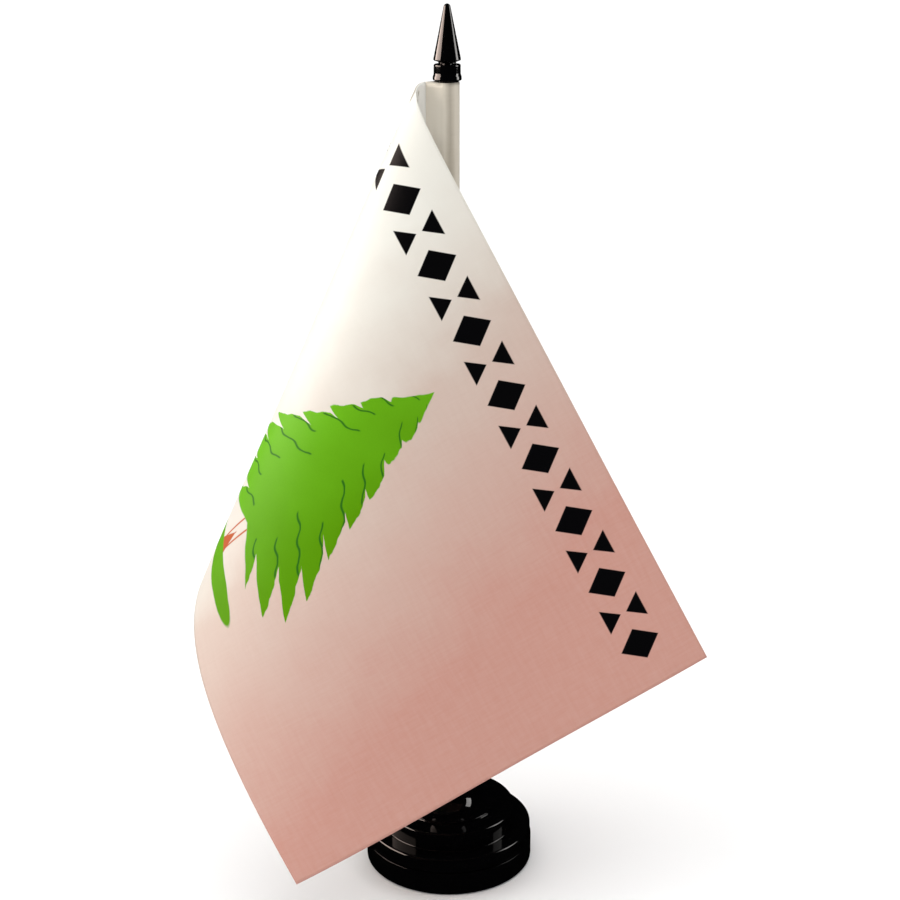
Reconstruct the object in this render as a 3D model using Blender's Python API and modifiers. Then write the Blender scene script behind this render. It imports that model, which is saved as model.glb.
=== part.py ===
"""Desk flag stand: a stepped round base, a pole in a socket, a spike finial and a satin flag on a sleeve.

Metres, +Z up. The origin is the centre of the pad's underside, and the pole's axis is Z. +X is to
the right and -Y is towards the front, where the flag curls across the pole.
"""
import math

import bmesh
import bpy
import numpy as np
from mathutils import Matrix, Vector

MM = 0.001
GAP = 0.3 * MM                      # what touching pieces keep between them
TURN_STEPS = 48                     # sides of a large turned piece
SMALL_STEPS = 32                    # sides of a small turned piece

# base
PAD_RADIUS = 24.6 * MM
PAD_HEIGHT = 1.2 * MM
DISH_RADIUS = 26.95 * MM            # the lower ring of the base, its widest part
DISH_RIM = 7.7 * MM                 # height of the dish's rim, where the groove shows
DISH_FLOOR = 4.2 * MM
DISH_WALL = 1.65 * MM
LOWER_STEP_RADIUS = 26.6 * MM
LOWER_STEP_TOP = 12.1 * MM
UPPER_STEP_RADIUS = 20.8 * MM
UPPER_STEP_TOP = 18.1 * MM
SHELL_WALL = 1.8 * MM
BOSS_FOOT_RADIUS = 14.6 * MM
BOSS_RADIUS = 7.0 * MM
BOSS_TOP = 30.0 * MM
SOCKET_RADIUS = 5.0 * MM
SOCKET_FLOOR = 8.3 * MM
SOCKET_TUBE_RADIUS = 7.0 * MM       # outside of the socket's wall, below the shell's web
BALLAST_HEIGHT = 4.0 * MM

# screw in the middle of the underside
SCREW_HEAD_RADIUS = 3.0 * MM
SCREW_RADIUS = 1.2 * MM
SCREW_POINT_RADIUS = 0.7 * MM
SCREW_POINT_LENGTH = 1.2 * MM
SCREW_POCKET_TOP = 3.0 * MM

# pole
POLE_RADIUS = 3.0 * MM
POLE_BORE = 1.8 * MM
POLE_TOP = 253.2 * MM
PLUG_RADIUS = SOCKET_RADIUS - GAP
FLANGE_RADIUS = 5.9 * MM
FLANGE_HEIGHT = 1.5 * MM
FLANGE_TOP = BOSS_TOP + GAP + FLANGE_HEIGHT
STUD_RADIUS = POLE_BORE - GAP       # the plug's stud, which the pole stands over
STUD_HEIGHT = 16.0 * MM

# finial
COLLAR_BOTTOM = 251.3 * MM
COLLAR_TOP = 255.9 * MM
COLLAR_RADIUS = 4.0 * MM
SPIKE_RADIUS = 3.95 * MM
SPIKE_TIP = 272.7 * MM
SPIGOT_RADIUS = POLE_BORE - GAP
SPIGOT_BOTTOM = 246.0 * MM

# flag: width runs from the hoist to the fly, height from the top edge down
FLAG_WIDTH = 193.5 * MM
FLAG_HEIGHT = 140.0 * MM
FLAG_TOP = 250.9 * MM
CLOTH_THICKNESS = 0.4 * MM
CLOTH_COLUMNS = 30
CLOTH_ROWS = 22

# sleeve round the pole: round against the pole, drawn out to a seam on the flag's side
SLEEVE_RADIUS = POLE_RADIUS + GAP + CLOTH_THICKNESS / 2
SEAM_X = -6.2 * MM
HOIST_X = -6.95 * MM
THREAD_RADIUS = 0.2 * MM

# The flag hangs as a cone of straight rulings. They meet at an apex a little above the top edge
# and beyond the hoist, so the cloth keeps its flat size however tightly it curls.
APEX_BEYOND_HOIST = 9.7 * MM
APEX_ABOVE_TOP = 22.2 * MM
CONE_HOIST_X = -5.1 * MM            # where the cone's own hoist line would lie
CONE_HOIST_Y = 0.4 * MM
LEAVING_ANGLE = 51.0                # degrees, from straight left towards the back
CURL_MIDDLE = 28.6                  # degrees of cloth, measured at the apex from straight down
CURL_SPREAD = 14.7                  # degrees of cloth over which the curl is spread
CURL_TURN = 247.5                   # degrees that the rulings swing round in the curl
FRONT_FLATTENING = 0.154            # how far the front layer bends back again after the curl
HOIST_REACH = 14.0 * MM             # width of the strip that is drawn to the sleeve's seam
RULING_STEPS = 240


# ---------------------------------------------------------------- scene and helpers

def clear_scene():
    for item in list(bpy.data.objects):
        bpy.data.objects.remove(item, do_unlink=True)


def new_collection(name):
    collection = bpy.data.collections.new(name)
    bpy.context.scene.collection.children.link(collection)
    return collection


def material(name, colour, roughness, metallic=0.0):
    finish = bpy.data.materials.new(name)
    finish.use_nodes = True
    shader = finish.node_tree.nodes["Principled BSDF"]
    shader.inputs["Base Color"].default_value = (*colour, 1.0)
    shader.inputs["Roughness"].default_value = roughness
    shader.inputs["Metallic"].default_value = metallic
    return finish


def add_object(name, data, finish, collection, parent=None):
    item = bpy.data.objects.new(name, data)
    item.data.materials.append(finish)
    collection.objects.link(item)
    item.parent = parent
    return item


def add_pivot(name, collection, parent=None):
    pivot = bpy.data.objects.new(name, None)
    pivot.empty_display_size = 0.01
    collection.objects.link(pivot)
    pivot.parent = parent
    return pivot


def arc(centre, radius, start, end, count):
    """Points on an arc in the profile plane, with its angles in degrees from +X."""
    angles = np.radians(np.linspace(start, end, count))
    return [(centre[0] + radius * math.cos(a), centre[1] + radius * math.sin(a)) for a in angles]


def turned(name, outline, finish, collection, parent=None, closed=True, steps=TURN_STEPS):
    """A turned piece. The outline runs down its outer side; an open one starts and ends on the axis."""
    mesh = bpy.data.meshes.new(name)
    builder = bmesh.new()
    points = [builder.verts.new((radius, 0.0, height)) for radius, height in outline]
    for first, second in zip(points, points[1:]):
        builder.edges.new((first, second))
    if closed:
        builder.edges.new((points[-1], points[0]))
    builder.to_mesh(mesh)
    builder.free()
    item = add_object(name, mesh, finish, collection, parent)
    screw = item.modifiers.new("turn", "SCREW")
    screw.axis = "Z"
    screw.angle = math.tau
    screw.steps = steps
    screw.render_steps = steps
    screw.use_merge_vertices = True
    screw.merge_threshold = 0.00001
    screw.use_smooth_shade = True
    return item


# ---------------------------------------------------------------- base

def make_base(collection, finishes):
    pivot = add_pivot("base_frame", collection)

    turned("base_pad", [(0.0, PAD_HEIGHT), (PAD_RADIUS, PAD_HEIGHT), (PAD_RADIUS, 0.0), (0.0, 0.0)],
           finishes["pad"], collection, pivot, closed=False)

    pad_seat = PAD_HEIGHT + GAP
    inner = DISH_RADIUS - DISH_WALL
    pocket = SCREW_HEAD_RADIUS + 2 * GAP
    rounding = 1.1 * MM
    skirt = 0.35 * MM                # the dish's lower edge stands this far above the desk
    dish = [(inner, DISH_RIM), (DISH_RADIUS - rounding / 2, DISH_RIM)]
    dish += arc((DISH_RADIUS - rounding, DISH_RIM - rounding), rounding, 60, 0, 3)
    dish += arc((DISH_RADIUS - rounding, rounding + skirt), rounding, 0, -80, 4)
    dish += [(PAD_RADIUS + GAP, skirt), (PAD_RADIUS + GAP, pad_seat), (pocket, pad_seat),
             (pocket, SCREW_POCKET_TOP), (SCREW_RADIUS + 2 * GAP, SCREW_POCKET_TOP),
             (SCREW_RADIUS + 2 * GAP, DISH_FLOOR), (inner, DISH_FLOOR)]
    turned("base_dish", dish, finishes["black"], collection, pivot)

    make_base_top(collection, finishes, pivot, inner)

    lift = DISH_FLOOR + GAP
    hole = SOCKET_TUBE_RADIUS + GAP
    rim = inner - GAP - SHELL_WALL - GAP
    turned("ballast_disc", [(hole, lift + BALLAST_HEIGHT), (rim, lift + BALLAST_HEIGHT),
                            (rim, lift), (hole, lift)], finishes["steel"], collection, pivot)

    head_bottom = pad_seat + GAP / 2
    head_top = SCREW_POCKET_TOP - GAP
    head_bevel = 0.5 * MM
    screw_tip = SOCKET_FLOOR - GAP
    turned("base_screw",
           [(0.0, screw_tip), (SCREW_POINT_RADIUS, screw_tip),
            (SCREW_RADIUS, screw_tip - SCREW_POINT_LENGTH),
            (SCREW_RADIUS, head_top), (SCREW_HEAD_RADIUS, head_top),
            (SCREW_HEAD_RADIUS, head_bottom + head_bevel),
            (SCREW_HEAD_RADIUS - head_bevel, head_bottom), (0.0, head_bottom)],
           finishes["steel"], collection, pivot, closed=False, steps=SMALL_STEPS)
    return pivot


def make_base_top(collection, finishes, pivot, dish_inner):
    """The stepped cover: socket boss, two steps, and a lip that drops inside the dish's rim."""
    edge = 0.9 * MM
    nick = 0.3 * MM                  # the small offset where one turned step meets the next
    lip_depth = 2.2 * MM
    flare = BOSS_FOOT_RADIUS - BOSS_RADIUS
    lip_outer = dish_inner - GAP
    lip_inner = lip_outer - SHELL_WALL
    outline = [(SOCKET_RADIUS, BOSS_TOP), (BOSS_RADIUS - edge, BOSS_TOP)]
    outline += arc((BOSS_RADIUS - edge, BOSS_TOP - edge), edge, 60, 0, 3)
    outline += arc((BOSS_FOOT_RADIUS, UPPER_STEP_TOP + 2 * nick + flare), flare, 180, 270, 8)
    outline += [(BOSS_FOOT_RADIUS + 2 * nick, UPPER_STEP_TOP)]
    outline += arc((UPPER_STEP_RADIUS - edge, UPPER_STEP_TOP - edge), edge, 90, 0, 4)
    outline += [(UPPER_STEP_RADIUS, LOWER_STEP_TOP + nick), (UPPER_STEP_RADIUS + nick, LOWER_STEP_TOP)]
    outline += arc((LOWER_STEP_RADIUS - edge, LOWER_STEP_TOP - edge), edge, 90, 0, 4)
    outline += arc((LOWER_STEP_RADIUS - edge, DISH_RIM + GAP + edge), edge, 0, -60, 3)
    outline += [(lip_outer, DISH_RIM + GAP), (lip_outer, DISH_RIM - lip_depth),
                (lip_inner, DISH_RIM - lip_depth), (lip_inner, LOWER_STEP_TOP - SHELL_WALL),
                (UPPER_STEP_RADIUS - SHELL_WALL, LOWER_STEP_TOP - SHELL_WALL),
                (UPPER_STEP_RADIUS - SHELL_WALL, UPPER_STEP_TOP - SHELL_WALL),
                (SOCKET_TUBE_RADIUS, UPPER_STEP_TOP - SHELL_WALL),
                (SOCKET_TUBE_RADIUS, DISH_FLOOR + GAP), (SCREW_RADIUS + GAP, DISH_FLOOR + GAP),
                (SCREW_RADIUS + GAP, SOCKET_FLOOR), (SOCKET_RADIUS, SOCKET_FLOOR)]
    turned("base_top", outline, finishes["black"], collection, pivot)


# ---------------------------------------------------------------- pole and finial

def make_plug(collection, finishes):
    """The flanged plug that drops into the socket, with the stud that the pole stands over."""
    pivot = add_pivot("plug_frame", collection)
    bottom = SOCKET_FLOOR + GAP
    bevel = 0.6 * MM
    stud_top = FLANGE_TOP + STUD_HEIGHT
    turned("pole_plug",
           [(0.0, stud_top), (STUD_RADIUS - bevel, stud_top), (STUD_RADIUS, stud_top - bevel),
            (STUD_RADIUS, FLANGE_TOP), (FLANGE_RADIUS - bevel, FLANGE_TOP),
            (FLANGE_RADIUS, FLANGE_TOP - bevel), (FLANGE_RADIUS, BOSS_TOP + GAP),
            (PLUG_RADIUS, BOSS_TOP + GAP), (PLUG_RADIUS, bottom + bevel),
            (PLUG_RADIUS - bevel, bottom), (0.0, bottom)],
           finishes["black"], collection, pivot, closed=False, steps=SMALL_STEPS)
    return pivot


def make_pole(collection, finishes, plug):
    pivot = add_pivot("pole_frame", collection, plug)
    bottom = FLANGE_TOP + GAP
    turned("pole_tube", [(POLE_BORE, POLE_TOP), (POLE_RADIUS, POLE_TOP), (POLE_RADIUS, bottom),
                         (POLE_BORE, bottom)], finishes["black"], collection, pivot, steps=SMALL_STEPS)
    return pivot


def make_finial(collection, finishes, pole):
    pivot = add_pivot("finial_frame", collection, pole)
    seat = POLE_TOP + GAP
    bevel = 0.35 * MM
    lip = COLLAR_RADIUS + bevel / 2
    collar = [(POLE_BORE, COLLAR_TOP), (COLLAR_RADIUS - bevel, COLLAR_TOP),
              (COLLAR_RADIUS, COLLAR_TOP - bevel),
              (COLLAR_RADIUS, COLLAR_BOTTOM + 4 * bevel), (lip, COLLAR_BOTTOM + 2 * bevel),
              (lip, COLLAR_BOTTOM + bevel), (lip - bevel, COLLAR_BOTTOM),
              (POLE_RADIUS + GAP, COLLAR_BOTTOM), (POLE_RADIUS + GAP, seat), (POLE_BORE, seat)]
    turned("finial_collar", collar, finishes["black"], collection, pivot, steps=SMALL_STEPS)

    base = COLLAR_TOP + GAP
    tip = 1.1 * MM
    groove = SPIKE_RADIUS - 0.45 * MM
    spike = [(0.0, SPIKE_TIP)] + arc((0.0, SPIKE_TIP - tip), tip, 60, 10, 3)
    spike += [(SPIKE_RADIUS, base + 3 * bevel), (SPIKE_RADIUS, base + 2.2 * bevel),
              (groove, base + 1.4 * bevel), (groove, base),
              (SPIGOT_RADIUS, base), (SPIGOT_RADIUS, SPIGOT_BOTTOM + bevel),
              (SPIGOT_RADIUS - bevel, SPIGOT_BOTTOM), (0.0, SPIGOT_BOTTOM)]
    turned("finial_spike", spike, finishes["black"], collection, pivot, closed=False, steps=SMALL_STEPS)


# ---------------------------------------------------------------- flag

def ruling_directions():
    """Cloth angles at the apex, and the direction in space of the straight ruling at each of them.

    The frame (along, across, inward) rolls on over the cloth: across is where the next ruling lies,
    and the curl tips it inward, towards the front, without stretching the cloth.
    """
    lean = math.radians(LEAVING_ANGLE)
    down = Vector((0.0, 0.0, -1.0))
    away = Vector((-math.cos(lean), math.sin(lean), 0.0))
    first = math.atan2(APEX_BEYOND_HOIST, FLAG_HEIGHT + APEX_ABOVE_TOP)
    last = math.atan2(FLAG_WIDTH + APEX_BEYOND_HOIST, APEX_ABOVE_TOP)
    angles = np.linspace(first, last, RULING_STEPS)
    step = angles[1] - angles[0]
    spread = math.radians(CURL_SPREAD)
    offsets = (angles + step / 2 - math.radians(CURL_MIDDLE)) / spread
    curl = math.radians(CURL_TURN) * np.exp(-offsets ** 2 / 2) / (spread * math.sqrt(math.tau))
    tail = FRONT_FLATTENING / (1 + np.exp(-2 * offsets))
    along = down * math.cos(first) + away * math.sin(first)
    across = away * math.cos(first) - down * math.sin(first)
    directions = []
    for rate in curl - tail:
        directions.append(along.copy())
        inward = across.cross(along)
        axis = -(along * float(rate) + inward)
        turn = Matrix.Rotation(axis.length * step, 3, axis)
        along = turn @ along
        across = turn @ across
    return angles, np.array(directions)


def draped(across, down, rulings):
    """Where the cloth's point, across from the hoist and down from the top edge, hangs."""
    angles, directions = rulings
    lean = math.radians(LEAVING_ANGLE)
    apex = Vector((CONE_HOIST_X + APEX_BEYOND_HOIST * math.cos(lean),
                   CONE_HOIST_Y - APEX_BEYOND_HOIST * math.sin(lean), FLAG_TOP + APEX_ABOVE_TOP))

    def on_cone(u, v):
        angle = math.atan2(u + APEX_BEYOND_HOIST, v + APEX_ABOVE_TOP)
        direction = Vector([np.interp(angle, angles, directions[:, k]) for k in range(3)])
        return apex + direction.normalized() * math.hypot(u + APEX_BEYOND_HOIST, v + APEX_ABOVE_TOP)

    hoist = Vector((HOIST_X, 0.0, FLAG_TOP - down))
    pull = math.exp(-(across / HOIST_REACH) ** 2)
    return on_cone(across, down) + (hoist - on_cone(0.0, down)) * pull


def make_flag(collection, finishes, pole):
    pivot = add_pivot("flag_frame", collection, pole)
    rulings = ruling_directions()
    builder = bmesh.new()
    bmesh.ops.create_grid(builder, x_segments=CLOTH_COLUMNS, y_segments=CLOTH_ROWS, size=0.5)
    for vertex in builder.verts:
        across = (vertex.co.x + 0.5) * FLAG_WIDTH
        down = (0.5 - vertex.co.y) * FLAG_HEIGHT
        vertex.co = draped(across, down, rulings)
    mesh = bpy.data.meshes.new("flag_cloth")
    builder.to_mesh(mesh)
    builder.free()
    cloth = add_object("flag_cloth", mesh, finishes["satin"], collection, pivot)
    add_wall(cloth, CLOTH_THICKNESS)

    make_sleeve(collection, finishes, pivot)
    make_thread(collection, finishes, pivot)


def add_wall(item, thickness):
    wall = item.modifiers.new("wall", "SOLIDIFY")
    wall.thickness = thickness
    wall.offset = 0.0
    wall.use_even_offset = True


def make_sleeve(collection, finishes, pivot):
    """A tube of cloth: an arc round the pole, and two straight sides that meet at the seam."""
    bottom = FLAG_TOP - FLAG_HEIGHT
    tangent = math.degrees(math.acos(SLEEVE_RADIUS / -SEAM_X))
    outline = arc((0.0, 0.0), SLEEVE_RADIUS, tangent - 180, 180 - tangent, 21)
    outline.append((SEAM_X, 0.0))
    builder = bmesh.new()
    points = [builder.verts.new((x, y, bottom)) for x, y in outline]
    edges = [builder.edges.new(pair) for pair in zip(points, points[1:] + points[:1])]
    raised = bmesh.ops.extrude_edge_only(builder, edges=edges)["geom"]
    top = [part for part in raised if isinstance(part, bmesh.types.BMVert)]
    bmesh.ops.translate(builder, verts=top, vec=(0.0, 0.0, FLAG_HEIGHT))
    bmesh.ops.recalc_face_normals(builder, faces=builder.faces)
    mesh = bpy.data.meshes.new("flag_sleeve")
    builder.to_mesh(mesh)
    builder.free()
    sleeve = add_object("flag_sleeve", mesh, finishes["satin"], collection, pivot)
    add_wall(sleeve, CLOTH_THICKNESS)


def make_thread(collection, finishes, pivot):
    """The sewing thread that closes the sleeve, on the front of the seam."""
    curve = bpy.data.curves.new("sleeve_thread", "CURVE")
    curve.dimensions = "3D"
    curve.bevel_depth = THREAD_RADIUS
    curve.bevel_resolution = 1
    curve.use_fill_caps = True
    spline = curve.splines.new("POLY")
    spline.points.add(1)
    x = SEAM_X + 0.7 * MM
    y = -1.35 * MM
    spline.points[0].co = (x, y, FLAG_TOP - 1.0 * MM, 1.0)
    spline.points[1].co = (x, y, FLAG_TOP - FLAG_HEIGHT + 1.0 * MM, 1.0)
    add_object("sleeve_thread", curve, finishes["thread"], collection, pivot)


# ---------------------------------------------------------------- the stand

def main():
    clear_scene()
    collection = new_collection("desk_flag_stand")
    finishes = {
        "black": material("gloss_black_plastic", (0.008, 0.008, 0.009), 0.08),
        "steel": material("zinc_plated_steel", (0.55, 0.56, 0.58), 0.35, 1.0),
        "pad": material("black_foam_pad", (0.03, 0.03, 0.032), 0.9),
        "satin": material("printed_satin", (0.80, 0.72, 0.66), 0.45),
        "thread": material("white_thread", (0.85, 0.83, 0.80), 0.6),
    }
    make_base(collection, finishes)
    plug = make_plug(collection, finishes)
    pole = make_pole(collection, finishes, plug)
    make_finial(collection, finishes, pole)
    make_flag(collection, finishes, pole)


main()
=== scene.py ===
"""The looks of the desk flag stand: gloss black stand, printed satin flag, studio floor and lights."""
import math

import bmesh
import bpy
import numpy as np
from mathutils import Matrix, Vector


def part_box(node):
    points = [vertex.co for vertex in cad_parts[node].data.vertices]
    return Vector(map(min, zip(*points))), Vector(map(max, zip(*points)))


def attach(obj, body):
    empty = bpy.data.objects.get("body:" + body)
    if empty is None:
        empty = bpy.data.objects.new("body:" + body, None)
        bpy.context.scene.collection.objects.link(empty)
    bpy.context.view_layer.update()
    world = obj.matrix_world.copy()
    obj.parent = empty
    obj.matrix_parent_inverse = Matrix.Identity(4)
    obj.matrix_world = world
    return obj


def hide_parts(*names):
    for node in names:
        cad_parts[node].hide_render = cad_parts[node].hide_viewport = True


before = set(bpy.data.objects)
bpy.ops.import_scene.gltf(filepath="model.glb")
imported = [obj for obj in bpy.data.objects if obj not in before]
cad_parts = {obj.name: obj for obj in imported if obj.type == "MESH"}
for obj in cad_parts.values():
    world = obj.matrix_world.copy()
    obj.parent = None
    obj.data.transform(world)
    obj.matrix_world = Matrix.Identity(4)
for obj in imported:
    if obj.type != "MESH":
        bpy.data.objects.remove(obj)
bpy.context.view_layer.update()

MM = 0.001
CLOTH_BODY = "flag"


# ---------------------------------------------------------------- sizes, read from the frame

def reach(node):
    """A round node's outer radius: half its width along X."""
    low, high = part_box(node)
    return (high.x - low.x) / 2


def foot(node):
    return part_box(node)[0].z


def head(node):
    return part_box(node)[1].z


FLAG_TOP = head("flag_sleeve")
FLAG_HEIGHT = head("flag_sleeve") - foot("flag_sleeve")
FLAG_WIDTH = 193.5 * MM
SEAM_X = -6.2 * MM
HOIST_X = -6.15 * MM
CLOTH_THICKNESS = 0.22 * MM
GAP = 0.3 * MM
SHELL_WALL = 1.8 * MM
REVERSE_STRENGTH = 0.62             # how much of the print shows through on the reverse
POLE_RADIUS = reach("pole_tube")


# ---------------------------------------------------------------- mesh helpers

def finished(name, builder, finishes, body, stands_for=(), smooth_angle=35):
    """Turns a bmesh into a piece that rides on a CAD body."""
    mesh = bpy.data.meshes.new(name)
    builder.to_mesh(mesh)
    builder.free()
    for finish in finishes:
        mesh.materials.append(finish)
    mesh.shade_smooth()
    if smooth_angle:
        mesh.set_sharp_from_angle(angle=math.radians(smooth_angle))
    piece = bpy.data.objects.new(name, mesh)
    bpy.context.scene.collection.objects.link(piece)
    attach(piece, body)
    if stands_for:
        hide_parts(*stands_for)
    return piece


def arc(centre, radius, start, end, count):
    """Points on an arc in the profile plane, from one angle to another in degrees from +X."""
    angles = np.radians(np.linspace(start, end, count))
    return [(centre[0] + radius * math.cos(a), centre[1] + radius * math.sin(a)) for a in angles]


def supported(outline, inset=0.12 * MM):
    """Adds a point near each end of every long straight run, so that only the rounded edges shade round."""
    held = []
    for near, far in zip(outline, outline[1:]):
        held.append(near)
        run = math.dist(near, far)
        if run > 5 * inset:
            for share in (inset / run, 1 - inset / run):
                held.append(tuple(a + (b - a) * share for a, b in zip(near, far)))
    return held + [outline[-1]]


def turned(outline, steps=144, closed=True):
    """A bmesh of a profile of (radius, height) points spun once round the pole's axis."""
    builder = bmesh.new()
    points = [builder.verts.new((max(radius, 0.0), 0.0, height)) for radius, height in supported(outline)]
    edges = [builder.edges.new(pair) for pair in zip(points, points[1:])]
    if closed:
        edges.append(builder.edges.new((points[-1], points[0])))
    bmesh.ops.spin(builder, geom=points + edges, cent=(0, 0, 0), axis=(0, 0, 1), dvec=(0, 0, 0),
                   angle=math.tau, steps=steps, use_merge=True, use_duplicate=False)
    bmesh.ops.remove_doubles(builder, verts=builder.verts, dist=0.000002)
    bmesh.ops.recalc_face_normals(builder, faces=builder.faces)
    return builder


# ---------------------------------------------------------------- shader helpers

class Value:
    """A number or vector that changes over a surface. Arithmetic on it adds Math nodes."""

    def __init__(self, finish, socket):
        self.finish = finish
        self.socket = socket

    def maths(self, operation, *others):
        return self.finish.node("ShaderNodeMath", {"operation": operation}, [self, *others])

    def __add__(self, other):
        return self.maths("ADD", other)

    def __sub__(self, other):
        return self.maths("SUBTRACT", other)

    def __rsub__(self, other):
        return self.finish.node("ShaderNodeMath", {"operation": "SUBTRACT"}, [other, self])

    def __mul__(self, other):
        return self.maths("MULTIPLY", other)

    def __truediv__(self, other):
        return self.maths("DIVIDE", other)

    def __abs__(self):
        return self.maths("ABSOLUTE")

    __radd__ = __add__
    __rmul__ = __mul__

    def power(self, exponent):
        return self.maths("POWER", exponent)

    def lower_of(self, other):
        return self.maths("MINIMUM", other)

    def higher_of(self, other):
        return self.maths("MAXIMUM", other)

    def fraction(self):
        return self.maths("FRACT")

    def whole(self):
        return self.maths("FLOOR")

    def held(self):
        """The value kept between 0 and 1."""
        return self.finish.node("ShaderNodeClamp", {}, [self, 0.0, 1.0])

    def below(self, limit, blur):
        """1 where the value is under the limit and 0 where it is over it, with a soft edge."""
        return ((limit - self) / blur + 0.5).held()


class Finish:
    """A material in the making: one Principled shader and the nodes that feed it."""

    def __init__(self, name, **fixed):
        self.material = bpy.data.materials.new(name)
        self.material.use_nodes = True
        self.tree = self.material.node_tree
        self.shader = self.tree.nodes["Principled BSDF"]
        for socket, value in fixed.items():
            self.shader.inputs[socket.replace("_", " ")].default_value = value

    def node(self, kind, settings, inputs, output=0):
        """Adds a node. Settings come first, then the values or links of its sockets."""
        added = self.tree.nodes.new(kind)
        for name, value in settings.items():
            setattr(added, name, value)
        pairs = inputs.items() if isinstance(inputs, dict) else enumerate(inputs)
        for key, value in pairs:
            if isinstance(value, Value):
                self.tree.links.new(value.socket, added.inputs[key])
            else:
                added.inputs[key].default_value = value
        return Value(self, added.outputs[output])

    def feed(self, socket, value):
        self.tree.links.new(value.socket, self.shader.inputs[socket])

    def mix(self, share, first, second):
        """A colour between two colours; a plain colour is given as three numbers."""
        first, second = (c if isinstance(c, Value) else (*c, 1.0) for c in (first, second))
        return self.node("ShaderNodeMix", {"data_type": "RGBA"}, {0: share, 6: first, 7: second}, 2)

    def place(self):
        return self.node("ShaderNodeTexCoord", {}, {}, "Object")

    def noise(self, scale, detail=3.0, place=None, roughness=0.5, stretch=None):
        """Noise from 0 to 1, on object coordinates unless a place is given."""
        place = place or self.place()
        if stretch:
            place = self.node("ShaderNodeMapping", {}, {"Vector": place, "Scale": stretch})
        return self.node("ShaderNodeTexNoise", {}, {"Vector": place, "Scale": scale, "Detail": detail,
                                                    "Roughness": roughness}, "Fac")

    def bump(self, height, distance, strength=1.0):
        self.feed("Normal", self.node("ShaderNodeBump", {}, {"Strength": strength, "Distance": distance,
                                                             "Height": height}))


# ---------------------------------------------------------------- finishes

def gloss_black(name, tint, shine, grain=1.0):
    """Polished injection-moulded plastic: faint orange peel, hairline rubs and specks of dust."""
    finish = Finish(name, IOR=1.46, Specular_IOR_Level=shine)
    rubs = finish.noise(90.0, 4.0, stretch=(1.0, 1.0, 14.0), roughness=0.65)
    peel = finish.noise(420.0, 2.0)
    dust = finish.noise(1900.0, 1.0)
    specks = (1.0 - dust.below(0.74, 0.05)) * 0.5
    finish.feed("Base Color", finish.mix(specks * 0.3, tint, (0.06, 0.057, 0.054)))
    finish.feed("Roughness", rubs * 0.06 * grain + 0.03 + specks * 0.25)
    finish.bump(peel * 0.6 + rubs * 0.4, 0.00002, 0.3)
    return finish.material


def zinc_steel():
    finish = Finish("zinc_plated_steel", Metallic=1.0)
    clouds = finish.noise(140.0, 4.0)
    lathe = finish.noise(60.0, 2.0, stretch=(1.0, 1.0, 40.0))
    finish.feed("Base Color", finish.mix(clouds, (0.50, 0.51, 0.52), (0.66, 0.66, 0.64)))
    finish.feed("Roughness", clouds * 0.2 + 0.25)
    finish.bump(lathe, 0.00003, 0.4)
    return finish.material


def foam():
    finish = Finish("black_foam", Specular_IOR_Level=0.25)
    cells = finish.node("ShaderNodeTexVoronoi", {}, {"Vector": finish.place(), "Scale": 1500.0}, "Distance")
    tone = finish.noise(200.0)
    finish.feed("Base Color", finish.mix(tone, (0.018, 0.018, 0.019), (0.045, 0.045, 0.047)))
    finish.feed("Roughness", tone * 0.1 + 0.85)
    finish.bump(cells, 0.0002, 0.7)
    return finish.material


def sewing_thread():
    finish = Finish("ivory_thread", Sheen_Weight=0.2)
    twist = finish.node("ShaderNodeTexWave", {"wave_type": "BANDS", "bands_direction": "DIAGONAL"},
                        {"Vector": finish.place(), "Scale": 900.0, "Distortion": 1.0}, "Fac")
    finish.feed("Base Color", finish.mix(twist, (0.60, 0.56, 0.48), (0.82, 0.79, 0.72)))
    finish.feed("Roughness", twist * 0.1 + 0.5)
    finish.bump(twist, 0.00005, 0.6)
    return finish.material


IVORY = (0.82, 0.80, 0.73)
# painted shade: beige and dusty rose stand for warm shade falling on the white satin, not for a dye
PAINTED_SHADE_BEIGE = (0.63, 0.53, 0.46)
PAINTED_SHADE_ROSE = (0.58, 0.30, 0.245)
LEAF_GREEN = (0.098, 0.285, 0.002)
# lighter green, for random pale patches and for painted light on the tree's left
LEAF_PALE_AND_LIT = (0.15, 0.46, 0.012)
LEAF_SHADE = (0.008, 0.10, 0.010)
TRUNK_BROWN = (0.46, 0.10, 0.035)
PRINT_BLACK = (0.002, 0.002, 0.0025)


def flat_place(finish):
    """The cloth's own flat coordinates in millimetres: across from the hoist, down from the top."""
    uv = finish.node("ShaderNodeUVMap", {"uv_map": "flat"}, {})
    across = finish.node("ShaderNodeSeparateXYZ", {}, [uv], 0) * (FLAG_WIDTH / MM)
    down = (1.0 - finish.node("ShaderNodeSeparateXYZ", {}, [uv], 1)) * (FLAG_HEIGHT / MM)
    vector = finish.node("ShaderNodeCombineXYZ", {}, [across, down, 0.0])
    return across, down, vector


def border_mask(across, down):
    """A border along the top edge: solid lozenges and pairs of triangles set point to point."""
    middle, half_height = 15.8, 6.3
    pitch, first, count = 10.6, 4.6, 17
    cell = (across - first) / pitch
    x = abs(cell.fraction() - 0.5) * pitch
    y = abs(down - middle)
    odd = ((cell.whole() / 2.0).fraction() * 2.0).held()
    lozenge = (x / 5.0 + y / half_height).below(1.0, 0.05)
    triangles = (x / 4.6 - y / half_height).below(-0.14, 0.05) * y.below(half_height, 0.3)
    pattern = lozenge * (1.0 - odd) + triangles * odd
    return pattern * across.below(first + pitch * count, 0.3) * (1.0 - across.below(first, 0.3))


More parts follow.
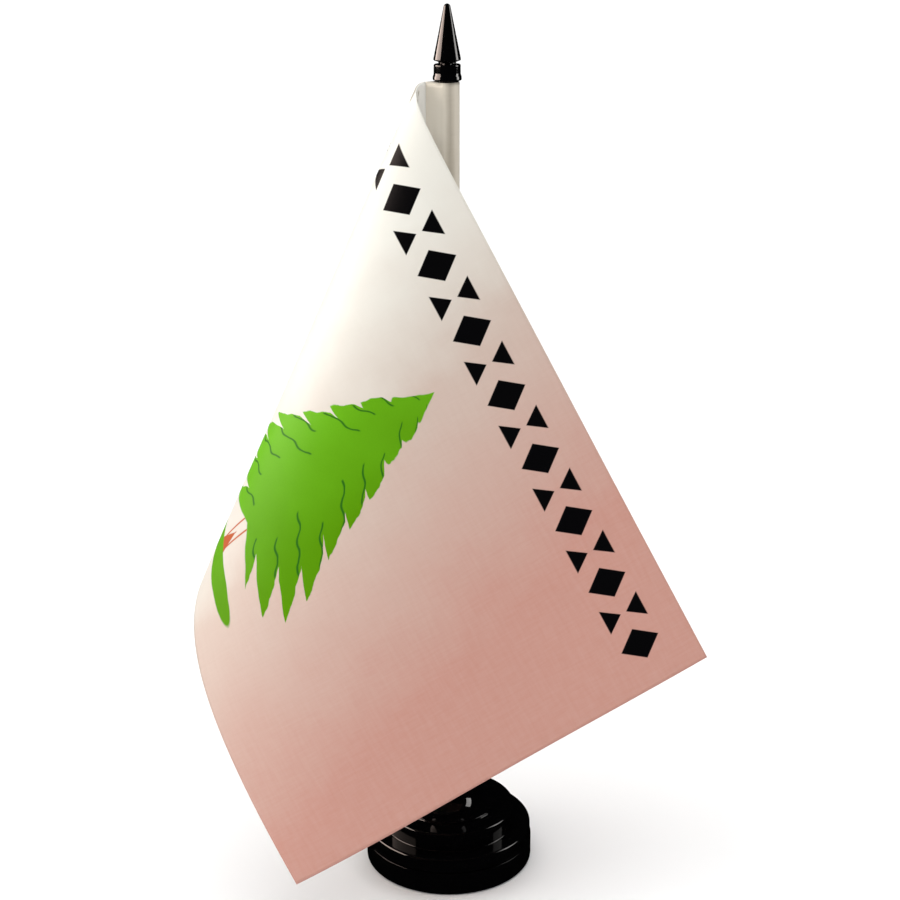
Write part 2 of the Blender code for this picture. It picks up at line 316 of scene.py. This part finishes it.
def tree_masks(finish, across, down, vector):
    """A conifer: masks of its foliage, of the lines between boughs, of its trunk and of the ground.

    The boughs are rows that droop as they leave the trunk and widen towards the foot of the tree.
    Each one comes to a point low on its row, and lower rows have deeper recesses between points.
    """
    wobble = finish.noise(0.11, 2.0, vector) - 0.5
    ragged = finish.noise(0.45, 2.0, vector) - 0.5
    tip, centre, point, widening = 34.0, 90.0, 0.76, 0.75
    height = down - tip
    offset = across - centre + (1.0 - height / 86.0).power(2.0) * 6.0 + wobble * 3.0
    x = abs(offset)
    left = offset.below(0.0, 0.01)
    root = height - 2.0 - x * (0.70 - height * 0.0036) - x * x * 0.002 + left * 2.2
    row = root.higher_of(0.01).power(widening) * 0.40
    k = row.whole()
    f = row.fraction()
    swing = (k * 2.4 + left * 2.1).maths("SINE")
    full = ((k / 0.40).power(1 / widening) * 0.66 + 4.5).lower_of(102.0 - k * 9.3) * (1.0 + swing * 0.06)
    notch = ((point - f) / point).higher_of((f - point) / (1.0 - point))
    edge = full * (1.0 - notch.power(1.3) * (k * 0.030 + 0.14))
    trimmed = (height - x * 0.45).below(71.0, 0.4) * (x - height * 0.56).below(0.2, 0.3)
    trimmed = trimmed * row.below(10.0, 0.05)
    leaves = (x - edge + ragged * 1.4).below(0.0, 0.35) * trimmed
    line = abs(f - 0.10 - (x * 0.9 + k * 2.0).maths("SINE") * 0.07).below(0.045, 0.045)
    veins = line * (1.0 - (x - full * (swing * 0.12 + 0.30)).below(0.0, 0.5))
    veins = veins * (x - edge).below(-0.4, 0.4) * leaves
    aside = abs(across - centre)
    spread = (down - 112.0).higher_of(0.0) * 0.34
    outline = abs(aside - 1.9).below(0.28, 0.22)
    solid = aside.below(spread + 0.2, 0.3) * (1.0 - down.below(111.0, 1.0))
    trunk = outline.higher_of(solid) * down.below(122.0, 0.4) * (1.0 - down.below(90.0, 0.4))
    mound = ((across - centre) / 25.5).power(2.0) + ((down - 123.6 + wobble * 1.5) / 4.2).power(2.0)
    return leaves, veins, trunk * (1.0 - leaves), mound.below(1.0, 0.10)


def printed_satin(name, strength):
    """Ivory polyester satin with the print; its ground carries painted warm shade towards the fly and the
    foot, and painted light near the hoist. The reverse shows the same print at less strength.
    """
    finish = Finish(name, Specular_IOR_Level=0.014)
    across, down, vector = flat_place(finish)
    slub = finish.noise(0.9, 3.0, vector, stretch=(0.12, 1.0, 1.0))
    warp = finish.noise(1.4, 2.0, vector, stretch=(1.0, 0.10, 1.0))
    weave = slub * 0.5 + warp * 0.5
    cloud = finish.noise(0.05, 3.0, vector) - 0.5
    # painted shade: the ground darkens from ivory through beige to dusty rose towards the fly and the foot
    painted_shade_reach = across - down * 0.3 + cloud * 22.0
    ground = finish.mix(((painted_shade_reach - 32.0) / 42.0).held(), IVORY, PAINTED_SHADE_BEIGE)
    ground = finish.mix(((painted_shade_reach - 62.0) / 76.0).held(), ground, PAINTED_SHADE_ROSE)
    ground = finish.mix((weave - 0.35).held() * 0.18, ground, (0.90, 0.84, 0.80))
    # painted light: the ground is lighter within about a centimetre of the hoist, lifting the shade where the
    # cloth turns away from the lamps
    ground = finish.mix(across.below(8.0, 8.0) * 0.8, ground, (0.96, 0.95, 0.91))
    leaves, veins, trunk, mound = tree_masks(finish, across, down, vector)
    # the foliage turns lighter in random patches, and towards the tree's left as painted light from the left
    light = (cloud + 0.5) * 0.6 + (96.0 - across) * 0.024
    leaf = finish.mix(light.held(), LEAF_GREEN, LEAF_PALE_AND_LIT)
    leaf = finish.mix(finish.noise(2.2, 2.0, vector) * 0.25, leaf, (0.055, 0.21, 0.003))
    colour = finish.mix(trunk * strength, ground, TRUNK_BROWN)
    colour = finish.mix(leaves.higher_of(mound) * strength, colour, leaf)
    colour = finish.mix(veins * strength * 0.85, colour, LEAF_SHADE)
    border = border_mask(across, down)
    colour = finish.mix(border * strength, colour, PRINT_BLACK)
    inked = leaves.higher_of(mound).higher_of(border).higher_of(trunk)
    finish.feed("Base Color", colour)
    finish.feed("Roughness", 0.46 - weave * 0.12 + inked * 0.08 * strength)
    finish.bump(weave, 0.00006, 0.5)
    return finish.material


def plain_satin():
    """The same satin without print, for the sleeve and its seam allowance. Its darker beige ground is painted
    shade, its left side carries painted light, and a crease holds a painted shade band.
    """
    finish = Finish("sleeve_satin", Sheen_Weight=0.05, Sheen_Roughness=0.35, Specular_IOR_Level=0.04)
    slub = finish.noise(900.0, 3.0, stretch=(1.0, 1.0, 0.10))
    warp = finish.noise(1300.0, 2.0, stretch=(0.2, 0.2, 1.0))
    weave = slub * 0.5 + warp * 0.5
    tone = finish.noise(45.0, 2.0)
    # painted shade: the white satin is given a darker beige ground where the sleeve lies in shade
    ground = finish.mix(tone, (0.60, 0.54, 0.44), (0.68, 0.63, 0.54))
    side = finish.node("ShaderNodeSeparateXYZ", {}, [finish.place()], 0) / MM
    fall = (FLAG_TOP / MM - finish.node("ShaderNodeSeparateXYZ", {}, [finish.place()], 2) / MM) / 14.0
    # painted light: the sleeve's left side is made lighter, from nothing at its top to full 14 mm down, to
    # lift the shadow cast by the flag's front layer
    ground = finish.mix(side.below(-1.0, 2.6) * fall.held(), ground, (0.92, 0.87, 0.78))
    # painted shade: a dark band just right of the middle, wandering with the tone noise, stands for shade
    # along a crease
    band = (1.0 - abs(side - 0.9 - (tone - 0.5) * 1.4) / 1.5).held()
    ground = finish.mix(band * 0.8, ground, (0.40, 0.355, 0.285))
    finish.feed("Base Color", finish.mix((weave - 0.35).held() * 0.25, ground, (0.86, 0.82, 0.75)))
    finish.feed("Roughness", 0.48 - weave * 0.12)
    finish.bump(weave, 0.00006, 0.5)
    return finish.material


# ---------------------------------------------------------------- the flag

APEX_BEYOND_HOIST = 9.7 * MM
APEX_ABOVE_TOP = 22.2 * MM
CONE_HOIST = Vector((-5.1 * MM, 0.4 * MM, 0.0))
LEAVING_ANGLE = math.radians(51.0)
CURL_MIDDLE = math.radians(28.6)
CURL_SPREAD = math.radians(14.7)
CURL_TURN = math.radians(247.5)
FRONT_FLATTENING = 0.154
HOIST_REACH = 14.0 * MM
RULING_STEPS = 400


def ruling_directions():
    """Cloth angles at the cone's apex, and the direction of the straight ruling at each of them."""
    down = Vector((0.0, 0.0, -1.0))
    away = Vector((-math.cos(LEAVING_ANGLE), math.sin(LEAVING_ANGLE), 0.0))
    first = math.atan2(APEX_BEYOND_HOIST, FLAG_HEIGHT + APEX_ABOVE_TOP) - 0.03
    last = math.atan2(FLAG_WIDTH + APEX_BEYOND_HOIST, APEX_ABOVE_TOP)
    angles = np.linspace(first, last, RULING_STEPS)
    step = angles[1] - angles[0]
    offsets = (angles + step / 2 - CURL_MIDDLE) / CURL_SPREAD
    curl = CURL_TURN * np.exp(-offsets ** 2 / 2) / (CURL_SPREAD * math.sqrt(math.tau))
    tail = FRONT_FLATTENING / (1 + np.exp(-2 * offsets))
    along = down * math.cos(first) + away * math.sin(first)
    across = away * math.cos(first) - down * math.sin(first)
    directions = []
    for rate in curl - tail:
        directions.append(along.copy())
        axis = -(along * float(rate) + across.cross(along))
        turn = Matrix.Rotation(axis.length * step, 3, axis)
        along = turn @ along
        across = turn @ across
    return angles, np.array(directions)


def draped(across, down):
    """Where points of the cloth hang, for arrays of distances from the hoist and from the top edge."""
    angles, directions = ruling_directions()
    apex = np.array((CONE_HOIST.x + APEX_BEYOND_HOIST * math.cos(LEAVING_ANGLE),
                     CONE_HOIST.y - APEX_BEYOND_HOIST * math.sin(LEAVING_ANGLE),
                     FLAG_TOP + APEX_ABOVE_TOP))

    def on_cone(u, v):
        angle = np.arctan2(u + APEX_BEYOND_HOIST, v + APEX_ABOVE_TOP)
        ruling = np.stack([np.interp(angle, angles, directions[:, k]) for k in range(3)], axis=1)
        ruling /= np.linalg.norm(ruling, axis=1, keepdims=True)
        return apex + ruling * np.hypot(u + APEX_BEYOND_HOIST, v + APEX_ABOVE_TOP)[:, None]

    hoist = np.stack([np.full_like(down, HOIST_X), np.zeros_like(down), FLAG_TOP - down], axis=1)
    pull = np.exp(-(across / HOIST_REACH) ** 2)[:, None]
    return on_cone(across, down) + (hoist - on_cone(np.zeros_like(down), down)) * pull


def soft_waves(across, down):
    """How far the cloth stands off its smooth cone: low waves that grow towards the free edges."""
    u = across / FLAG_WIDTH
    v = down / FLAG_HEIGHT
    free = u * (0.35 + 0.65 * u)
    wave = 0.55 * np.sin(7.0 * u + 5.0 * v + 0.6) + 0.35 * np.sin(13.0 * u - 6.0 * v + 2.1)
    edge_lift = np.exp(-(1 - u) / 0.03) * np.sin(9.0 * v + 1.0) + np.exp(-(1 - v) / 0.04) * np.sin(11.0 * u)
    return (wave * free * 0.9 + edge_lift * u * 0.25) * MM


def cloth_grid(columns, rows, span, offset=0.0):
    """A piece of the draped cloth between two distances from the hoist, with its flat UV map."""
    builder = bmesh.new()
    bmesh.ops.create_grid(builder, x_segments=columns, y_segments=rows, size=0.5, calc_uvs=True)
    flat = builder.loops.layers.uv.verify()
    across = np.array([span[0] + (vertex.co.x + 0.5) * (span[1] - span[0]) for vertex in builder.verts])
    down = np.array([(0.5 - vertex.co.y) * FLAG_HEIGHT for vertex in builder.verts])
    places = draped(across, down)
    for vertex, place in zip(builder.verts, places):
        vertex.co = place
    builder.normal_update()
    lifts = soft_waves(across, down) + offset
    moves = [vertex.normal * lift for vertex, lift in zip(builder.verts, lifts)]
    for vertex, move in zip(builder.verts, moves):
        vertex.co += move
    for face in builder.faces:
        for loop in face.loops:
            index = loop.vert.index
            loop[flat].uv = (across[index] / FLAG_WIDTH, 1 - down[index] / FLAG_HEIGHT)
    return builder


def name_uv(piece):
    piece.data.uv_layers[0].name = "flat"


def give_thickness(piece, thickness, reverse_slot=0):
    wall = piece.modifiers.new("cloth", "SOLIDIFY")
    wall.thickness = thickness
    wall.offset = 0.0
    wall.material_offset = reverse_slot


def make_cloth(front, reverse):
    builder = cloth_grid(180, 132, (0.0, FLAG_WIDTH))
    cloth = finished("flag_satin", builder, [front, reverse], CLOTH_BODY, ("flag_cloth",), 0)
    name_uv(cloth)
    give_thickness(cloth, CLOTH_THICKNESS, 1)
    return cloth


def make_sleeve(satin):
    """A tube of cloth that is round against the pole and drawn flat to its seam."""
    radius = POLE_RADIUS + 0.45 * MM
    tangent = math.degrees(math.acos(radius / -SEAM_X))
    outline = arc((0.0, 0.0), radius, tangent - 180, 180 - tangent, 49)
    straight = 14
    last, first = outline[-1], outline[0]
    tail = (SEAM_X, 0.0)
    outline += [tuple(np.add(last, np.subtract(tail, last) * k / straight)) for k in range(1, straight + 1)]
    outline += [tuple(np.add(tail, np.subtract(first, tail) * k / straight)) for k in range(1, straight)]
    builder = bmesh.new()
    bottom = FLAG_TOP - FLAG_HEIGHT
    points = [builder.verts.new((x, y, bottom)) for x, y in outline]
    ring = [builder.edges.new(pair) for pair in zip(points, points[1:] + points[:1])]
    rows = 90
    for _ in range(rows):
        raised = bmesh.ops.extrude_edge_only(builder, edges=ring)["geom"]
        ring = [part for part in raised if isinstance(part, bmesh.types.BMEdge)]
        lifted = [part for part in raised if isinstance(part, bmesh.types.BMVert)]
        bmesh.ops.translate(builder, verts=lifted, vec=(0.0, 0.0, FLAG_HEIGHT / rows))
    for vertex in builder.verts:
        vertex.co += sleeve_crease(vertex.co)
    bmesh.ops.recalc_face_normals(builder, faces=builder.faces)
    sleeve = finished("sleeve_tube", builder, [satin], CLOTH_BODY, ("flag_sleeve",), 60)
    give_thickness(sleeve, CLOTH_THICKNESS)
    return sleeve


def sleeve_crease(place):
    """Shallow upright creases on the sleeve's front and back."""
    height = (place.z - FLAG_TOP) / FLAG_HEIGHT
    side = 1.0 if place.y < 0 else -1.0
    ridge = math.exp(-((place.x + 0.9 * MM - 0.3 * MM * math.sin(3 * height)) / (1.0 * MM)) ** 2)
    hollow = math.exp(-((place.x + 3.9 * MM) / (1.2 * MM)) ** 2)
    groove = math.exp(-((place.x - 1.2 * MM) / (0.6 * MM)) ** 2)
    wander = 0.10 * math.sin(38 * height + 900 * place.x)
    out = (0.26 * ridge - 0.20 * hollow - 0.16 * groove + wander * hollow) * MM
    return Vector((0.0, -side * out, 0.0))


def make_allowance(satin):
    """The turned-in edge of the sleeve, laid on the flag's reverse."""
    builder = cloth_grid(10, 132, (0.2 * MM, 5.5 * MM), offset=0.3 * MM)
    strip = finished("seam_allowance", builder, [satin], CLOTH_BODY, (), 0)
    name_uv(strip)
    give_thickness(strip, CLOTH_THICKNESS)
    return strip


def make_stitches(thread):
    """One row of lockstitch through the allowance, seen on both faces of the flag."""
    pitch, length, radius = 2.6 * MM, 2.0 * MM, 0.17 * MM
    from_hoist = 2.6 * MM
    count = int((FLAG_HEIGHT - 3 * MM) / pitch)
    down = np.array([2.5 * MM + pitch * k for k in range(count)])
    across = np.full_like(down, from_hoist)
    centres = draped(across, down)
    aheads = draped(across, down + 0.5 * MM) - centres
    sides = draped(across + 0.5 * MM, down) - centres
    builder = bmesh.new()
    for centre, ahead, side in zip(centres, aheads, sides):
        ahead = Vector(ahead).normalized()
        out = ahead.cross(Vector(side)).normalized()
        for face_side, lift in ((-1.0, 0.20 * MM), (1.0, 0.48 * MM)):
            shape = bmesh.ops.create_icosphere(builder, subdivisions=1, radius=1.0)["verts"]
            across_axis = ahead.cross(out)
            frame_matrix = Matrix((across_axis * radius, ahead * length / 2, out * radius)).transposed()
            bmesh.ops.transform(builder, matrix=frame_matrix.to_4x4(), verts=shape)
            bmesh.ops.translate(builder, verts=shape, vec=Vector(centre) + out * face_side * lift)
    bmesh.ops.recalc_face_normals(builder, faces=builder.faces)
    return finished("sleeve_stitches", builder, [thread], CLOTH_BODY, ("sleeve_thread",), 0)


def make_flag():
    front = printed_satin("printed_satin", 1.0)
    reverse = printed_satin("printed_satin_reverse", REVERSE_STRENGTH)
    plain = plain_satin()
    cloth = make_cloth(front, reverse)
    sleeve = make_sleeve(plain)
    allowance = make_allowance(plain)
    stitches = make_stitches(sewing_thread())


# ---------------------------------------------------------------- the stand

def make_base(black, steel, pad_finish):
    top_radius = reach("base_top")
    dish_radius = reach("base_dish")
    rim = head("base_dish")
    gap = GAP
    lower_top = 12.5 * MM
    upper_top = 18.6 * MM
    upper_radius = 21.3 * MM
    boss_top = head("base_top")
    boss_radius, boss_foot, socket = 7.0 * MM, 14.6 * MM, 5.0 * MM
    wall = SHELL_WALL
    dish_inner = dish_radius - 1.65 * MM
    edge = 0.9 * MM
    flare = boss_foot - boss_radius
    outline = [(socket, boss_top - 0.3 * MM), (socket + 0.3 * MM, boss_top)]
    outline += arc((boss_radius - edge, boss_top - edge), edge, 90, 0, 8)
    outline += arc((boss_foot, upper_top + 0.6 * MM + flare), flare, 182, 268, 26)
    outline += arc((boss_foot + 0.1 * MM, upper_top + 0.3 * MM), 0.3 * MM, 80, -10, 4)
    outline += [(boss_foot + 0.6 * MM, upper_top)]
    outline += arc((upper_radius - edge, upper_top - edge), edge, 90, 0, 10)
    outline += arc((upper_radius + 0.4 * MM, lower_top + 0.4 * MM), 0.4 * MM, 180, 270, 5)
    outline += arc((top_radius - edge, lower_top - edge), edge, 90, 0, 10)
    under = 0.15 * MM
    outline += arc((top_radius - under, rim + gap + under), under, 0, -80, 6)
    lip = dish_inner - gap
    outline += [(lip, rim + gap), (lip, rim - 2.2 * MM), (lip - wall, rim - 2.2 * MM),
                (lip - wall, lower_top - wall), (upper_radius - wall, lower_top - wall),
                (upper_radius - wall, upper_top - wall), (boss_radius, upper_top - wall),
                (boss_radius, foot("base_top")), (1.5 * MM, foot("base_top")),
                (1.5 * MM, 8.3 * MM), (socket, 8.3 * MM)]
    finished("base_cover", turned(outline), [black], "base", ("base_top",), 40)

    rounding = 0.6 * MM
    pad_radius = reach("base_pad")
    rim_edge = 0.12 * MM
    dish = [(dish_inner, rim)]
    dish += arc((dish_radius - rim_edge, rim - rim_edge), rim_edge, 85, 0, 6)
    dish += arc((dish_radius - rounding, rounding + gap), rounding, 0, -84, 9)
    dish += [(pad_radius + gap, 0.35 * MM), (pad_radius + gap, 1.5 * MM), (3.6 * MM, 1.5 * MM),
             (3.6 * MM, 3.0 * MM), (1.8 * MM, 3.0 * MM), (1.8 * MM, 4.2 * MM), (dish_inner, 4.2 * MM)]
    finished("base_tray", turned(dish), [black], "base", ("base_dish",), 40)

    top = head("base_pad")
    rim_round = 0.3 * MM
    pad = [(0.0, top)] + arc((pad_radius - rim_round, top - rim_round), rim_round, 90, 0, 4)
    pad += arc((pad_radius - rim_round, rim_round), rim_round, 0, -90, 4) + [(0.0, 0.0)]
    finished("foam_pad", turned(pad, closed=False), [pad_finish], "base", ("base_pad",), 50)

    for node in ("ballast_disc", "base_screw"):
        dress(node, steel)


def dress(node, finish):
    """Gives a carried-over node its finish."""
    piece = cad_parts[node]
    piece.data.materials.clear()
    piece.data.materials.append(finish)


def make_pole(black):
    """The plug with its flange and stud, and the tube that stands over the stud."""
    bottom, stud_top = foot("pole_plug"), head("pole_plug")
    flange, shank, stud = reach("pole_plug"), 4.7 * MM, 1.5 * MM
    flange_top = foot("pole_tube") - GAP
    flange_bottom = flange_top - 1.5 * MM
    round_edge = 0.6 * MM
    plug = [(0.0, stud_top), (stud - 0.4 * MM, stud_top), (stud, stud_top - 0.4 * MM), (stud, flange_top)]
    plug += arc((flange - round_edge, flange_top - round_edge), round_edge, 90, 0, 6)
    plug += [(flange, flange_bottom), (shank, flange_bottom), (shank, bottom + round_edge),
             (shank - round_edge, bottom), (0.0, bottom)]
    finished("plug", turned(plug, 96, closed=False), [black], "plug", ("pole_plug",), 40)

    low, high = foot("pole_tube"), head("pole_tube")
    bore = 1.8 * MM
    chamfer = 0.25 * MM
    tube = [(bore, high), (POLE_RADIUS - chamfer, high), (POLE_RADIUS, high - chamfer)]
    tube += [(POLE_RADIUS, high + (low - high) * k / 12) for k in range(1, 12)]
    tube += [(POLE_RADIUS, low + chamfer), (POLE_RADIUS - chamfer, low), (bore, low)]
    finished("pole", turned(tube, 72), [black], "pole", ("pole_tube",), 40)


def make_finial(black):
    radius = reach("finial_collar")
    low, high = foot("finial_collar"), head("finial_collar")
    neck = radius - 0.3 * MM
    seat = head("pole_tube") + GAP
    bore = POLE_RADIUS + GAP
    collar = [(1.8 * MM, high), (neck - 0.45 * MM, high)]
    collar += arc((neck - 0.35 * MM, high - 0.35 * MM), 0.35 * MM, 90, 0, 5)
    collar += [(neck, low + 2.0 * MM)]
    collar += [(neck + (radius - neck) * (1 - math.cos(math.pi * k / 6)) / 2, low + (2.0 - 1.1 * k / 6) * MM)
               for k in range(1, 6)]
    collar += arc((radius - 0.45 * MM, low + 0.45 * MM), 0.45 * MM, 20, -88, 7)
    collar += [(bore, low), (bore, seat), (1.8 * MM, seat)]
    finished("collar", turned(collar, 96), [black], "finial", ("finial_collar",), 50)

    radius = reach("finial_spike")
    tip = head("finial_spike")
    base = high + GAP
    nose = 1.0 * MM
    lean = math.degrees(math.atan2(radius - nose, tip - base - 1.5 * MM))
    spike = [(0.0, tip)] + arc((0.0, tip - nose), nose, 84, lean, 9)
    spike += [(radius - 0.02 * MM, base + 1.25 * MM)]
    spike += arc((radius - 0.3 * MM, base + 1.0 * MM), 0.3 * MM, 5, -70, 5)
    spike += [(radius - 1.4 * MM, base + 0.3 * MM), (radius - 1.4 * MM, base), (1.5 * MM, base),
              (1.5 * MM, foot("finial_spike") + 0.5 * MM), (1.1 * MM, foot("finial_spike")),
              (0.0, foot("finial_spike"))]
    finished("spike", turned(spike, 96, closed=False), [black], "finial", ("finial_spike",),
             50)


# ---------------------------------------------------------------- studio

FLOOR_HALF_WIDTH = 12.0
WALL_RADIUS = 11.0
WALL_HEIGHT = 14.0
WALL_SUNK = 1.0
CARD_HEIGHT = 0.44                  # high enough that the step tops don't mirror the cards in low views


def set_stage(name, builder, finish):
    """A piece of the studio, which isn't part of the object and doesn't show in polished surfaces."""
    mesh = bpy.data.meshes.new(name)
    builder.to_mesh(mesh)
    builder.free()
    mesh.materials.append(finish.material)
    piece = bpy.data.objects.new(name, mesh)
    bpy.context.scene.collection.objects.link(piece)
    piece.visible_glossy = False
    return piece


def make_floor():
    finish = Finish("studio_floor", Roughness=0.9, Specular_IOR_Level=0.0, Base_Color=(0.93, 0.93, 0.93, 1.0))
    builder = bmesh.new()
    bmesh.ops.create_grid(builder, x_segments=1, y_segments=1, size=FLOOR_HALF_WIDTH)
    set_stage("floor", builder, finish)


def make_backdrop():
    """A round white wall far behind everything, so that low views don't end at a horizon."""
    finish = Finish("studio_wall", Roughness=1.0, Specular_IOR_Level=0.0, Base_Color=(0.0, 0.0, 0.0, 1.0),
                    Emission_Color=(1.0, 1.0, 1.0, 1.0), Emission_Strength=1.0)
    builder = bmesh.new()
    bmesh.ops.create_cone(builder, cap_ends=False, segments=96, radius1=WALL_RADIUS, radius2=WALL_RADIUS,
                          depth=WALL_HEIGHT)
    bmesh.ops.translate(builder, verts=builder.verts, vec=(0.0, 0.0, WALL_HEIGHT / 2 - WALL_SUNK))
    wall = set_stage("backdrop", builder, finish)
    wall.visible_diffuse = False
    wall.visible_shadow = False


def make_light(name, place, target, size, power, colour, gloss):
    """A soft box. It either shows in polished surfaces or lights the rest, and never does both."""
    data = bpy.data.lights.new(name, "AREA")
    data.shape = "RECTANGLE"
    data.size, data.size_y = size
    data.energy = power
    data.color = colour
    light = bpy.data.objects.new(name, data)
    light.location = place
    light.rotation_euler = (Vector(target) - Vector(place)).to_track_quat("-Z", "Y").to_euler()
    light.visible_diffuse = not gloss
    light.visible_glossy = gloss
    bpy.context.scene.collection.objects.link(light)


def make_sun(name, direction, spread, strength):
    """A broad, even light from one direction, which keeps the wide floor white. It has no gloss."""
    data = bpy.data.lights.new(name, "SUN")
    data.energy = strength
    data.angle = math.radians(spread)
    light = bpy.data.objects.new(name, data)
    light.rotation_euler = Vector(direction).to_track_quat("-Z", "Y").to_euler()
    light.visible_glossy = False
    bpy.context.scene.collection.objects.link(light)


def make_studio():
    make_floor()
    make_backdrop()
    world = bpy.data.worlds.new("studio")
    bpy.context.scene.world = world
    world.use_nodes = True
    surround = world.node_tree.nodes["Background"]
    surround.inputs["Color"].default_value = (1.0, 0.99, 0.98, 1.0)
    surround.inputs["Strength"].default_value = 0.26
    world.cycles_visibility.glossy = False
    middle = (0.0, 0.0, 0.14)
    ahead = (0.0, 0.0, CARD_HEIGHT)
    make_sun("ceiling", (0.05, 0.12, -1.0), 90.0, 2.9)
    make_light("window_left", (-0.60, -0.14, 0.36), middle, (0.34, 0.50), 1.5, (1.0, 0.99, 0.96), False)
    make_light("left_card", (-0.56, -0.01, CARD_HEIGHT), ahead, (0.62, 0.475), 43.0, (1.0, 0.80, 0.70), True)
    make_light("right_card", (0.558, 0.05, CARD_HEIGHT), ahead, (0.22, 0.475), 9.5, (1.0, 0.97, 0.94), True)
    bpy.context.scene.view_settings.view_transform = "Standard"


def make_camera():
    data = bpy.data.cameras.new("camera")
    data.lens = 69.74
    data.sensor_width = 36.0
    data.clip_start = 0.01
    camera = bpy.data.objects.new("camera", data)
    camera.location = (0.0009, -0.5076, 0.3066)
    camera.rotation_euler = (math.radians(90 - 18.19), math.radians(0.10), 0.0)
    bpy.context.scene.collection.objects.link(camera)
    bpy.context.scene.camera = camera


def main():
    make_camera()
    make_studio()
    make_base(gloss_black("gloss_black_base", (0.0010, 0.0010, 0.0012), 0.08), zinc_steel(), foam())
    make_pole(gloss_black("gloss_black_pole", (0.005, 0.005, 0.0055), 0.12, 1.3))
    make_finial(gloss_black("gloss_black_finial", (0.001, 0.001, 0.0012), 0.10, 0.8))
    make_flag()


main()
